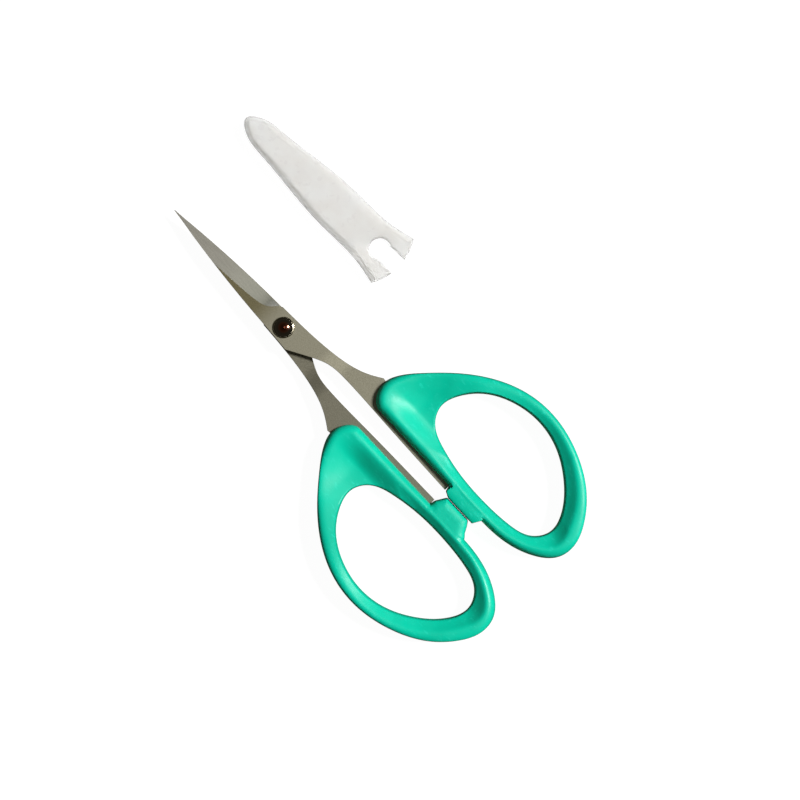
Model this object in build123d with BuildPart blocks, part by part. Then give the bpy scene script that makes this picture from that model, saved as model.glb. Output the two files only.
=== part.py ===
from build123d import *
from math import cos, radians, sin
import os

# Embroidery scissors: two stamped steel halves with moulded finger bows, a screwed pivot
# and a loose moulded sheath that lies beside the blades.
#
# Frame, in millimetres: the origin is on the pivot axis in the plane the object rests on,
# +X runs from the blade tips to the finger bows, +Y to the upper half's bow, +Z up.
# The lower half is the upper half turned over about the line y = 0, z = MEET_Z.

# ---- Steel halves ----
PLATE = 1.5                # thickness of each steel half
PLATE_GAP = 0.02           # gap between the two halves
BLADE_LENGTH = 31.4        # pivot axis to the tips
TIP_HALF_WIDTH = 0.06      # half the width of each blunted tip
RICASSO_X = -3.3           # where the ground blade ends and the full-width plate begins
BLADE_HALF_WIDTH = 2.42    # spine's distance from the centre line at the ricasso
BLADE_FULLNESS = 0.62      # how far the edge bows out of a straight taper, as a share
EDGE_INSET = 0.1           # how far the cutting edge lies inside the other half's spine
RICASSO_STEP = 0.26        # step out from the cutting edge to the ricasso
RICASSO_RUN = 0.2          # length of that step along the blade
EDGE_LAND = 0.3            # steel left standing at the cutting edge
GRIND_SLOPE = 0.42         # rise of the ground face for each millimetre across
BOSS_HALF_WIDTH = 2.75     # half-width of the plate just behind the pivot
BOSS_BACK_X = 3.3          # where the inner side leaves the boss for the shank
CROTCH_X = 8.3             # where the two shanks part, seen from above
CROTCH_Y = 0.15
SHANK_BACK_X = 20.5        # where the shank meets the front of the bow
SHANK_OUTER_Y = 7.5        # outer side of the shank at the bow
SHANK_INNER_Y = 1.9        # inner side of the shank at the bow
JOGGLE_START_X = 9.0       # each shank is bent here, so that its tang lies in the middle of its bow
JOGGLE_LENGTH = 6.0

# ---- Tang, the part of each steel half that the bow is moulded round ----
TANG_LENGTH = 24.1         # beyond the end of the shank
TANG_INNER_Y = 1.4         # inner side of the tang's strip at its end, left bare
TANG_BITE = 1.15           # how deep the strip is buried in the bow's inner limb
ANCHOR_RADIUS = 1.1        # hole that the moulded plastic fills
ANCHOR_X = 26.0
ANCHOR_Y = 4.7

# ---- Finger bows ----
BOW_THICKNESS = 5.6
BOW_FRONT_X = 21.0
BOW_LENGTH = 48.9
BOW_INNER_Y = 2.45         # flat inner side of the bow
BOW_WIDTH = 24.42
WEB = 11.0                 # plastic in front of the finger hole
REAR_LIMB = 5.3            # plastic behind the finger hole
INNER_LIMB = 2.95          # plastic between the inner side and the finger hole
OUTER_LIMB = 3.02          # plastic outside the finger hole
BOW_ROUND = 1.15           # rounding of the bow's edges

# ---- Stops, which meet when the blades are closed ----
STOP_FRONT_X = 44.8
STOP_LENGTH = 9.1
STOP_CONTACT_Y = 0.71      # where the two stop faces meet
STOP_GAP = 0.04
STOP_THICKNESS = 5.0
STOP_ROOT = 1.0            # how far a stop reaches into its limb

# ---- Pivot ----
BARREL_RADIUS = 1.25
BARREL_CLEARANCE = 0.04    # radial running clearance in the upper half
DOME_RADIUS = 1.78
DOME_HEIGHT = 0.9
DOME_RIM = 0.12            # straight rim below the dome
WASHER_RADIUS = 2.1
WASHER_THICKNESS = 0.3
WASHER_ROUND = 0.1
END_FLOAT = 0.02           # running gap between the upper half and the washer
SCREW_RADIUS = 0.8
SCREW_FIT = 0.02
SCREW_ENGAGEMENT = 1.7     # thread length inside the barrel
SCREW_HEAD_RADIUS = 2.1
SCREW_HEAD_CHAMFER = 0.2
SLOT_LENGTH = 2.8
SLOT_WIDTH = 0.55
SLOT_DEPTH = 0.6

# ---- Sheath ----
SHEATH_X = 0.16            # where it lies
SHEATH_Y = 24.15
SHEATH_TURN = 2.8          # degrees from the X axis
SHEATH_WALL = 0.7
SHEATH_FIT = 0.2           # room above and below the closed blades
SHEATH_SIDE_ROOM = 1.49    # room on each side of the blades at the root of the legs
SHEATH_TIP_ROOM = 3.5      # room beyond the tips when it is pushed home
SHEATH_NOSE = 1.6          # plastic at the closed end
SHEATH_ROUND = 0.5
LEG_LENGTH = 4.7
LEG_HALF_WIDTH = 5.95      # at the tips of the flared legs
MOUTH_BULGE = 1.66         # how far the middle of the mouth stands beyond the legs' outer corners
NOTCH_CENTRE_X = 1.3       # where the pivot sits when it is pushed home
NOTCH_CLEARANCE = 0.05     # round the washer
NOTCH_GRIP = 0.28          # how much narrower than the washer the slot is on each side

# ---- Heights that follow from the sizes above ----
MEET_Z = BOW_THICKNESS / 2
UPPER_PLATE_Z = MEET_Z + PLATE_GAP / 2
LOWER_PLATE_TOP_Z = MEET_Z - PLATE_GAP / 2
LOWER_PLATE_Z = LOWER_PLATE_TOP_Z - PLATE
WASHER_Z = UPPER_PLATE_Z + PLATE + END_FLOAT
DOME_Z = WASHER_Z + WASHER_THICKNESS
BOW_END_X = BOW_FRONT_X + BOW_LENGTH
BOW_TOP_Y = BOW_INNER_Y + BOW_WIDTH
TANG_END_X = SHANK_BACK_X + TANG_LENGTH
TANG_Z = MEET_Z - PLATE / 2
SHEATH_LENGTH = BLADE_LENGTH + SHEATH_TIP_ROOM + SHEATH_NOSE - NOTCH_CENTRE_X
SHEATH_HALF_WIDTH = BOSS_HALF_WIDTH + SHEATH_SIDE_ROOM + SHEATH_WALL
NOTCH_RADIUS = WASHER_RADIUS + NOTCH_CLEARANCE
NOTCH_SLOT = 2 * (WASHER_RADIUS - NOTCH_GRIP)
POCKET_HEIGHT = 2 * PLATE + PLATE_GAP + 2 * SHEATH_FIT
SHEATH_HEIGHT = POCKET_HEIGHT + 2 * SHEATH_WALL

# Shapes of the two closed curves of a bow, each as shares of its own box, anticlockwise
# from the inner side.  The outer one runs from the back of the flat inner side round to its front.
BOW_SHAPE = [(.67, 0), (.8, .025), (.92, .12), (.99, .26), (1, .4), (.96, .59), (.875, .775),
             (.74, .925), (.56, 1), (.43, .97), (.3, .86), (.18, .68), (.08, .47), (.02, .31),
             (0, .2), (.01, .09), (.07, 0)]
HOLE_SHAPE = [(0, .36), (.05, .19), (.2, .07), (.4, .01), (.6, 0), (.8, .03), (.94, .12),
              (1, .3), (.96, .53), (.83, .77), (.66, .94), (.48, 1), (.3, .95), (.13, .79),
              (.03, .57)]


def in_box(shape, x_low, x_high, y_low, y_high):
    """The points of a shape given as shares of a box."""
    return [(x_low + u * (x_high - x_low), y_low + v * (y_high - y_low)) for u, v in shape]


def turned_over(part):
    """The same piece on the other half."""
    return part.rotate(Axis((0, 0, MEET_Z), (1, 0, 0)), 180)


def blade_edge_y(x):
    """Distance of the cutting edge from the centre line, at x ahead of the pivot."""
    share = (BLADE_LENGTH + x) / (BLADE_LENGTH + RICASSO_X)
    belly = BLADE_FULLNESS * share * (1 - share)
    return (BLADE_HALF_WIDTH - EDGE_INSET) * (share + belly)


belly_xs = [RICASSO_X - share * BLADE_LENGTH for share in (0.25, 0.5, 0.75)]
ricasso_corner = (RICASSO_X + RICASSO_RUN, blade_edge_y(RICASSO_X) + RICASSO_STEP)

# ---- Upper steel half ----
with BuildPart() as blade_upper:
    with BuildSketch(Plane.XY.offset(TANG_Z)):
        with BuildLine():
            Spline(
                (-BLADE_LENGTH, -TIP_HALF_WIDTH),
                *[(x, -blade_edge_y(x) - EDGE_INSET) for x in reversed(belly_xs)],
                (RICASSO_X, -BLADE_HALF_WIDTH),
                (BOSS_BACK_X, -BOSS_HALF_WIDTH),
            )
            Line((BOSS_BACK_X, -BOSS_HALF_WIDTH), (CROTCH_X, CROTCH_Y))
            Spline(
                (CROTCH_X, CROTCH_Y),
                (SHANK_BACK_X - 9.5, SHANK_INNER_Y - 0.54),
                (SHANK_BACK_X - 5.0, SHANK_INNER_Y),
                (SHANK_BACK_X + 4.5, SHANK_INNER_Y - 0.15),
                (TANG_END_X, TANG_INNER_Y),
            )
            Polyline(
                (TANG_END_X, TANG_INNER_Y),
                (TANG_END_X, BOW_INNER_Y + TANG_BITE),
                (BOW_FRONT_X + 9.5, BOW_INNER_Y + TANG_BITE),
                (BOW_FRONT_X + 1.6, SHANK_OUTER_Y - 0.3),
                (SHANK_BACK_X, SHANK_OUTER_Y),
            )
            Spline(
                (SHANK_BACK_X, SHANK_OUTER_Y),
                (SHANK_BACK_X - 2.5, SHANK_OUTER_Y - 1.55),
                (SHANK_BACK_X - 5.5, SHANK_OUTER_Y - 2.8),
                (SHANK_BACK_X - 10.0, SHANK_OUTER_Y - 3.82),
                (5.0, BOSS_HALF_WIDTH + 0.28),
                ricasso_corner,
            )
            Line(ricasso_corner, (RICASSO_X, blade_edge_y(RICASSO_X)))
            Spline(
                (RICASSO_X, blade_edge_y(RICASSO_X)),
                *[(x, blade_edge_y(x)) for x in belly_xs],
                (-BLADE_LENGTH, TIP_HALF_WIDTH),
            )
            Line((-BLADE_LENGTH, TIP_HALF_WIDTH), (-BLADE_LENGTH, -TIP_HALF_WIDTH))
        make_face()
    extrude(amount=UPPER_PLATE_Z + PLATE - TANG_Z)
    # The side view: flat from the tip to the joggle, then down to the tang's own height.
    joggle_end_x = JOGGLE_START_X + JOGGLE_LENGTH
    with BuildSketch(Plane.XZ):
        with BuildLine():
            Polyline(
                (-BLADE_LENGTH - 1, UPPER_PLATE_Z),
                (JOGGLE_START_X, UPPER_PLATE_Z),
                (joggle_end_x, TANG_Z),
                (TANG_END_X + 1, TANG_Z),
                (TANG_END_X + 1, TANG_Z + PLATE),
                (joggle_end_x, TANG_Z + PLATE),
                (JOGGLE_START_X, UPPER_PLATE_Z + PLATE),
                (-BLADE_LENGTH - 1, UPPER_PLATE_Z + PLATE),
                close=True,
            )
        make_face()
    extrude(amount=2 * SHANK_OUTER_Y, both=True, mode=Mode.INTERSECT)
    # The ground face: steel above a slope that rises from the cutting edge is taken off.
    # Towards the ricasso the slope climbs out of the plate, as a grinding wheel leaves it.
    # Each station is a place along the blade and how far the slope has climbed there.
    stations = [(-BLADE_LENGTH - 0.5, 0), (-0.75 * BLADE_LENGTH, 0), (-0.45 * BLADE_LENGTH, 0),
                (RICASSO_X - 4.7, 0.14), (RICASSO_X - 1.9, 0.3), (RICASSO_X - 1.0, 0.6),
                (RICASSO_X, PLATE - EDGE_LAND + 0.1)]
    for x, climb in stations:
        edge_y = max(blade_edge_y(x), 0)
        side = BOSS_HALF_WIDTH + 1
        edge_z = UPPER_PLATE_Z + EDGE_LAND + climb
        with BuildSketch(Plane(origin=(x, 0, 0), x_dir=(0, 1, 0), z_dir=(1, 0, 0))):
            with BuildLine():
                Polyline(
                    (side, edge_z + (edge_y - side) * GRIND_SLOPE),
                    (-side, edge_z + (edge_y + side) * GRIND_SLOPE),
                    (-side, UPPER_PLATE_Z + PLATE + 3),
                    (side, UPPER_PLATE_Z + PLATE + 3),
                    close=True,
                )
            make_face()
    loft(ruled=True, mode=Mode.SUBTRACT)
    with BuildSketch(Plane.XY.offset(TANG_Z)):
        Circle(BARREL_RADIUS + BARREL_CLEARANCE)
        with Locations((ANCHOR_X, ANCHOR_Y)):
            Circle(ANCHOR_RADIUS)
    extrude(amount=UPPER_PLATE_Z + PLATE - TANG_Z, mode=Mode.SUBTRACT)

# ---- Lower steel half: the same stamping turned over, bored for the screw alone ----
with BuildPart() as blade_lower:
    add(turned_over(blade_upper.part))
    with BuildSketch(Plane.XY.offset(LOWER_PLATE_Z)):
        Circle(BARREL_RADIUS + BARREL_CLEARANCE)
        Circle(SCREW_RADIUS + SCREW_FIT, mode=Mode.SUBTRACT)
    extrude(amount=PLATE)


def moulded_bow(stop_outline, steel_half):
    """A finger bow for the upper half: a rounded ring with a stop, moulded round the tang."""
    with BuildPart() as bow:
        with BuildSketch():
            with BuildLine():
                outer = in_box(BOW_SHAPE, BOW_FRONT_X, BOW_END_X, BOW_INNER_Y, BOW_TOP_Y)
                Spline(*outer, tangents=[(1, 0), (1, 0)], tangent_scalars=[1, 1])
                Line(outer[-1], outer[0])
            make_face()
            with BuildLine():
                Spline(
                    *in_box(
                        HOLE_SHAPE,
                        BOW_FRONT_X + WEB,
                        BOW_END_X - REAR_LIMB,
                        BOW_INNER_Y + INNER_LIMB,
                        BOW_TOP_Y - OUTER_LIMB,
                    ),
                    periodic=True,
                )
            make_face(mode=Mode.SUBTRACT)
        extrude(amount=BOW_THICKNESS)
        fillet(bow.faces().filter_by(Axis.Z).edges(), BOW_ROUND)
        with BuildSketch(Plane.XY.offset(MEET_Z - STOP_THICKNESS / 2)):
            with BuildLine():
                Polyline(*stop_outline, close=True)
            make_face()
        extrude(amount=STOP_THICKNESS)
        add(steel_half, mode=Mode.SUBTRACT)
    return bow.part


stop_back_x = STOP_FRONT_X + STOP_LENGTH
stop_root_y = BOW_INNER_Y + STOP_ROOT

# ---- Upper bow: its stop is a low block whose face looks at the other bow ----
upper_face_y = STOP_CONTACT_Y + STOP_GAP / 2
upper_stop = [
    (STOP_FRONT_X, stop_root_y),
    (STOP_FRONT_X, upper_face_y + 0.67),
    (STOP_FRONT_X + 1.4, upper_face_y),
    (stop_back_x - 0.9, upper_face_y),
    (stop_back_x - 0.7, upper_face_y + 0.4),
    (stop_back_x, stop_root_y),
]
with BuildPart() as handle_upper:
    add(moulded_bow(upper_stop, blade_upper.part))

# ---- Lower bow: its stop reaches across the centre line to the upper one.  It is drawn as the
# upper half's, before it is turned over, so what lies beyond the centre line has a negative y ----
lower_face_y = -(STOP_CONTACT_Y - STOP_GAP / 2)
lower_stop = [
    (STOP_FRONT_X, stop_root_y),
    (STOP_FRONT_X, BOW_INNER_Y - 1.0),
    (STOP_FRONT_X + 1.2, lower_face_y),
    (stop_back_x - 1.9, lower_face_y),
    (stop_back_x - 1.1, lower_face_y + 1.05),
    (stop_back_x - 0.4, lower_face_y + 2.25),
    (stop_back_x + 0.3, BOW_INNER_Y - 0.2),
    (stop_back_x + 0.3, stop_root_y),
]
with BuildPart() as handle_lower:
    add(turned_over(moulded_bow(lower_stop, blade_upper.part)))

# ---- Pivot: a domed nut whose barrel stands on the lower half and carries the upper one ----
with BuildPart() as pivot_stud:
    with BuildSketch(Plane.XZ):
        with BuildLine():
            rim_z = DOME_Z + DOME_RIM
            top_z = DOME_Z + DOME_HEIGHT
            ball_radius = (DOME_RADIUS**2 + (top_z - rim_z) ** 2) / (2 * (top_z - rim_z))
            RadiusArc((DOME_RADIUS, rim_z), (0, top_z), -ball_radius)
            Polyline(
                (0, top_z),
                (0, LOWER_PLATE_TOP_Z),
                (BARREL_RADIUS, LOWER_PLATE_TOP_Z),
                (BARREL_RADIUS, DOME_Z),
                (DOME_RADIUS, DOME_Z),
                (DOME_RADIUS, rim_z),
            )
        make_face()
    revolve(axis=Axis.Z)
    with BuildSketch(Plane.XY.offset(LOWER_PLATE_TOP_Z)):
        Circle(SCREW_RADIUS + SCREW_FIT)
    extrude(amount=SCREW_ENGAGEMENT + SCREW_FIT, mode=Mode.SUBTRACT)

with BuildPart() as pivot_washer:
    with BuildSketch(Plane.XY.offset(WASHER_Z)):
        Circle(WASHER_RADIUS)
        Circle(BARREL_RADIUS + SCREW_FIT, mode=Mode.SUBTRACT)
    extrude(amount=WASHER_THICKNESS)
    top_circles = pivot_washer.edges().filter_by(GeomType.CIRCLE).group_by(Axis.Z)[-1]
    fillet(top_circles.sort_by(SortBy.RADIUS)[-1], WASHER_ROUND)

with BuildPart() as pivot_screw:
    with BuildSketch():
        Circle(SCREW_HEAD_RADIUS)
    extrude(amount=LOWER_PLATE_Z)
    chamfer(pivot_screw.faces().sort_by(Axis.Z)[0].edges(), SCREW_HEAD_CHAMFER)
    with BuildSketch():
        SlotOverall(SLOT_LENGTH, SLOT_WIDTH)
    extrude(amount=SLOT_DEPTH, mode=Mode.SUBTRACT)
    with BuildSketch(Plane.XY.offset(LOWER_PLATE_Z)):
        Circle(SCREW_RADIUS)
    extrude(amount=PLATE + SCREW_ENGAGEMENT)

# ---- Sheath: a flat moulded tube, closed at the blades' tips and notched for the pivot.
# Its own x axis runs from the closed end to the mouth ----
sheath_plane = Plane(
    origin=(SHEATH_X, SHEATH_Y, 0),
    x_dir=(cos(radians(SHEATH_TURN)), sin(radians(SHEATH_TURN)), 0),
    z_dir=(0, 0, 1),
)


def sheath_outline(inset, nose_x):
    """Points round the sheath from one leg's tip by the closed end to the other's, inset by a wall."""
    side = [
        (LEG_LENGTH, LEG_HALF_WIDTH - inset),
        (0, SHEATH_HALF_WIDTH - inset),
        (-0.28 * SHEATH_LENGTH, 0.95 * SHEATH_HALF_WIDTH - inset),
        (-0.55 * SHEATH_LENGTH, 0.81 * SHEATH_HALF_WIDTH - inset),
        (-0.8 * SHEATH_LENGTH, 0.62 * SHEATH_HALF_WIDTH - inset),
        (nose_x + 0.06 * SHEATH_LENGTH, 0.42 * SHEATH_HALF_WIDTH - 0.7 * inset),
    ]
    return side + [(nose_x, 0)] + [(x, -y) for x, y in reversed(side)]


with BuildPart() as blade_sheath:
    with BuildSketch(sheath_plane):
        with BuildLine():
            outline = sheath_outline(0, -SHEATH_LENGTH)
            Spline(*outline)
            ThreePointArc(outline[-1], (LEG_LENGTH + MOUTH_BULGE, 0), outline[0])
        make_face()
    extrude(amount=SHEATH_HEIGHT)
    flat_faces = blade_sheath.faces().filter_by(Axis.Z)
    fillet(flat_faces.edges().filter_by(GeomType.BSPLINE), SHEATH_ROUND)
    with BuildSketch(sheath_plane.offset(SHEATH_WALL)):
        with BuildLine():
            pocket = sheath_outline(SHEATH_WALL, SHEATH_NOSE - SHEATH_LENGTH)
            open_end_x = LEG_LENGTH + 2 * MOUTH_BULGE
            Spline(*pocket)
            Polyline(pocket[-1], (open_end_x, pocket[-1][1]), (open_end_x, pocket[0][1]), pocket[0])
        make_face()
    extrude(amount=POCKET_HEIGHT, mode=Mode.SUBTRACT)
    with BuildSketch(sheath_plane):
        with Locations((NOTCH_CENTRE_X, 0)):
            Circle(NOTCH_RADIUS)
            Rectangle(3 * LEG_LENGTH, NOTCH_SLOT, align=(Align.MIN, Align.CENTER))
    extrude(amount=SHEATH_HEIGHT, mode=Mode.SUBTRACT)

# ---- Names and files ----
pieces = {
    "blade_upper": blade_upper,
    "blade_lower": blade_lower,
    "handle_upper": handle_upper,
    "handle_lower": handle_lower,
    "pivot_stud": pivot_stud,
    "pivot_washer": pivot_washer,
    "pivot_screw": pivot_screw,
    "blade_sheath": blade_sheath,
}
os.makedirs("parts", exist_ok=True)
for name, piece in pieces.items():
    piece.part.label = name
    export_step(piece.part, f"parts/{name}.step")
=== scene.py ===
"""Looks for the embroidery scissors: sculpted bows, ground blades, pivot and translucent sheath."""

import math

import bmesh
import bpy
import numpy as np
from mathutils import Matrix, Vector
from mathutils.geometry import delaunay_2d_cdt
from mathutils.kdtree import KDTree


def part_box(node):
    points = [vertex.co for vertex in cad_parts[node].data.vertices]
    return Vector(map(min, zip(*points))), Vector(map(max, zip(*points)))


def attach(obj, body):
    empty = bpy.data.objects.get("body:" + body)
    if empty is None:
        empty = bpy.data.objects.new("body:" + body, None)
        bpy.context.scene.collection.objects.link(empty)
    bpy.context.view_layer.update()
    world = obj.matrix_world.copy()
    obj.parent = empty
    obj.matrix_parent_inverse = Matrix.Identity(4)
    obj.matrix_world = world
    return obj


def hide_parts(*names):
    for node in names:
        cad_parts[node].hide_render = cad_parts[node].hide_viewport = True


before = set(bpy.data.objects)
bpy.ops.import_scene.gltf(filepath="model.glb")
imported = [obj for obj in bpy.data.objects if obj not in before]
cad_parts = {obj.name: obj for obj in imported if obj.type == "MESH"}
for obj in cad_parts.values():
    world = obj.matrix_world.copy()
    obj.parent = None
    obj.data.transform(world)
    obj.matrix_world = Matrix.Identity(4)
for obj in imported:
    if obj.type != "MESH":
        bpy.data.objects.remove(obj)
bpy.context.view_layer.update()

MM = 0.001  # every size below is in millimetres, and meshes are made in metres

# ---- Sizes read from the frame ----
bow_low, bow_high = (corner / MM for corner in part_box("handle_upper"))
stud_low, stud_high = (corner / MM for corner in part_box("pivot_stud"))
washer_low, washer_high = (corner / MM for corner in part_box("pivot_washer"))
sheath_low, sheath_high = (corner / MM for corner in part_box("blade_sheath"))
MEET_Z = (bow_low.z + bow_high.z) / 2  # the plane where the two halves meet

# ---- Bows: the same outlines as the CAD bows, as shares of their boxes ----
BOW_LENGTH = 48.9
BOW_INNER_Y = 2.45     # the straight inner side of the bow
BOW_SHAPE = [(.67, 0), (.8, .025), (.92, .12), (.99, .26), (1, .4), (.96, .59), (.875, .775), (.74, .925),
             (.56, 1), (.43, .97), (.3, .86), (.18, .68), (.08, .47), (.02, .31), (0, .2), (.01, .09),
             (.07, 0)]
HOLE_SHAPE = [(0, .36), (.05, .19), (.2, .07), (.4, .01), (.6, 0), (.8, .03), (.94, .12), (1, .3),
              (.96, .53), (.83, .77), (.66, .94), (.48, 1), (.3, .95), (.13, .79), (.03, .57)]
WEB = 11.0             # from the bow's front end to the finger hole
REAR_LIMB = 5.3
INNER_LIMB = 2.95
OUTER_LIMB = 3.02
STOP_FRONT_X = 44.8
STOP_BACK_X = 53.9
STOP_CONTACT_Y = 0.71  # the middle of the gap between the closed stops
STOP_GAP = 0.04

# ---- Bows: the sculpted section ----
WALL_BULGE = 0.15      # how far the middle of a side wall stands out beyond its top edge
WALL_TOP = 0.95        # height of the side wall's straight part above the middle, at the inner limb
OUTER_WALL_TOP = 1.8   # the same at the outer limb
OUTER_FULLNESS = 0.4   # how much squarer the outer limb's rounding is
OUTER_Y = (8, 14)      # between these the inner limb's section turns into the outer limb's
HOLE_WALL_TOP = 0.6    # height of the wall inside the finger hole
HOLE_ROUND = 0.22      # rounding of the finger hole's edge
CREASE_SOFTNESS = 0.4
FACET_LIMIT = 4.0      # the facet grows gentler as its drop nears this
SCOOP_DEPTH = 2.1      # the hollow in front of the finger hole
SCOOP_Y = [3.6, 8.3, 22.0]    # where it starts, is deepest and ends, across the bow
SCOOP_X = [21.0, 30, 40, 48]  # where it starts, is deepest, starts to fade and ends, along the bow
UPPER_STOP_EDGE = 2.1  # height where the rounding of the upper stop's contact face begins
LOWER_STOP_EDGE = 1.6  # the same on the lower stop
STOP_ROUND = 1.7
STOP_ROOT = 4.0        # how far the stop's outline reaches back into the bow
STOP_SINK = 0.6        # how far into the bow its own outline gives way to the stop's
STOP_MARGIN = 0.1      # the same beyond the stop's two ends

# ---- Shapes ----
STEP = 0.2        # spacing of points along an outline
SPAN_POINTS = 60  # points worked out on each span of a curve before they are spaced evenly


def through(points, closed=False, ends=None, step=STEP):
    """Evenly spaced points on the smooth cubic curve through the given ones.

    An open curve has its slopes at the two ends from ends, or is free there.
    """
    p = np.array(points, float)
    if closed:
        p = np.vstack([p, p[:1]])
    h = np.linalg.norm(np.diff(p, axis=0), axis=1)
    n = len(p)
    a = np.zeros((n, n))
    b = np.zeros((n, 2))
    for i in range(1, n - 1):
        a[i, i - 1 : i + 2] = 1 / h[i - 1], 2 / h[i - 1] + 2 / h[i], 1 / h[i]
        b[i] = 3 * ((p[i] - p[i - 1]) / h[i - 1] ** 2 + (p[i + 1] - p[i]) / h[i] ** 2)
    if closed:
        a[0, [0, 1, -2]] = 2 / h[0] + 2 / h[-1], 1 / h[0], 1 / h[-1]
        b[0] = 3 * ((p[1] - p[0]) / h[0] ** 2 + (p[-1] - p[-2]) / h[-1] ** 2)
        a[-1, [0, -1]] = 1, -1
    elif ends is not None:
        a[0, 0] = a[-1, -1] = 1
        b[0], b[-1] = ends
    else:
        a[0, :2] = a[-1, [-1, -2]] = 2, 1
        b[0], b[-1] = 3 * (p[1] - p[0]) / h[0], 3 * (p[-1] - p[-2]) / h[-1]
    slopes = np.linalg.solve(a, b)
    fine = []
    for i in range(n - 1):
        t = np.linspace(0, 1, SPAN_POINTS, endpoint=False)[:, None]
        fine.append(
            (1 + 2 * t) * (1 - t) ** 2 * p[i]
            + t * (1 - t) ** 2 * h[i] * slopes[i]
            + t**2 * (3 - 2 * t) * p[i + 1]
            - t**2 * (1 - t) * h[i] * slopes[i + 1]
        )
    fine = np.vstack([*fine, p[-1:]])
    return spaced(fine, step)[: -1 if closed else None]


def spaced(line, step=STEP):
    """The same line with points at even steps, its ends kept."""
    line = np.asarray(line, float)
    along = np.r_[0, np.cumsum(np.linalg.norm(np.diff(line, axis=0), axis=1))]
    marks = np.linspace(0, along[-1], max(2, round(along[-1] / step) + 1))
    return np.c_[np.interp(marks, along, line[:, 0]), np.interp(marks, along, line[:, 1])]


def rounded(corners, radii, closed=True):
    """A polygon with an arc at each corner, as a list of points."""
    corners = [np.array(c, float) for c in corners]
    out = []
    for i, (corner, radius) in enumerate(zip(corners, radii)):
        if not radius:
            out.append(corner)
            continue
        a = corners[i - 1] - corner
        b = corners[(i + 1) % len(corners)] - corner
        a, b = a / np.linalg.norm(a), b / np.linalg.norm(b)
        half = math.acos(np.clip(a @ b, -1, 1)) / 2
        reach = radius / math.tan(half)
        centre = corner + (a + b) / np.linalg.norm(a + b) * radius / math.sin(half)
        start, end = corner + a * reach - centre, corner + b * reach - centre
        turn = math.pi - 2 * half
        for t in np.linspace(0, 1, 9):
            arm = (math.sin((1 - t) * turn) * start + math.sin(t * turn) * end) / math.sin(turn)
            out.append(centre + arm)
    return np.array(out)


def arc(centre_x, radius, start, end, count):
    """Points on a circle whose centre is on the X axis."""
    t = np.linspace(start, end, count)
    return np.c_[centre_x + radius * np.cos(t), radius * np.sin(t)]


def area(loop):
    """Area of a loop, positive if it runs anticlockwise."""
    x, y = loop[:, 0], loop[:, 1]
    return (x @ np.roll(y, -1) - y @ np.roll(x, -1)) / 2


def inward(loop):
    """Unit normals of a loop that point to its left."""
    t = np.roll(loop, -1, axis=0) - np.roll(loop, 1, axis=0)
    t /= np.linalg.norm(t, axis=1)[:, None]
    return np.c_[-t[:, 1], t[:, 0]]


def inside(points, loop):
    """Which points lie inside a closed loop."""
    x, y = points[:, 0], points[:, 1]
    odd = np.zeros(len(points), bool)
    for (x0, y0), (x1, y1) in zip(loop, np.roll(loop, -1, axis=0)):
        crosses = (y0 > y) != (y1 > y)
        if crosses.any():
            odd ^= crosses & (x < x0 + (y - y0) * (x1 - x0) / (y1 - y0 if y1 != y0 else 1))
    return odd


class Edge:
    """A line that distances are measured from."""

    def __init__(self, line, closed=True):
        self.line = np.asarray(line, float)
        self.closed = closed
        self.tree = KDTree(len(self.line))
        for i, (x, y) in enumerate(self.line):
            self.tree.insert((x, y, 0), i)
        self.tree.balance()

    def distance(self, points):
        """Distance of each point from the line."""
        near = np.array([self.tree.find((x, y, 0))[1] for x, y in points])
        best = np.full(len(points), np.inf)
        n = len(self.line)
        for shift in (-1, 0):
            i = near + shift
            j = i + 1
            if self.closed:
                i, j = i % n, j % n
            else:
                i, j = np.clip(i, 0, n - 1), np.clip(j, 0, n - 1)
            a, b = self.line[i], self.line[j]
            ab = b - a
            long = np.maximum((ab**2).sum(1), 1e-12)
            t = np.clip(((points - a) * ab).sum(1) / long, 0, 1)
            best = np.minimum(best, np.linalg.norm(points - a - t[:, None] * ab, axis=1))
        return best


def add_mesh(name, points, faces):
    """A new object from points in mm and faces, without the points that no face uses."""
    mesh = bpy.data.meshes.new(name)
    mesh.from_pydata((np.array(points) * MM).tolist(), [], [tuple(map(int, face)) for face in faces])
    bm = bmesh.new()
    bm.from_mesh(mesh)
    bmesh.ops.delete(bm, geom=[v for v in bm.verts if not v.link_faces], context="VERTS")
    bm.to_mesh(mesh)
    bm.free()
    mesh.validate()
    mesh.update()
    obj = bpy.data.objects.new(name, mesh)
    bpy.context.collection.objects.link(obj)
    return obj


def in_plan(points, loops):
    """Which points lie inside the first loop and outside the others."""
    held = inside(points, loops[0])
    for hole in loops[1:]:
        held &= ~inside(points, hole)
    return held


# How near the points inside a plan come to its lines, as shares of the row's distance or the grid's step
ROW_TO_OUTLINE = 0.93
ROW_TO_CREASE = 0.3
GRID_TO_ROWS = 0.45
GRID_TO_CREASE = 0.4


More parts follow.
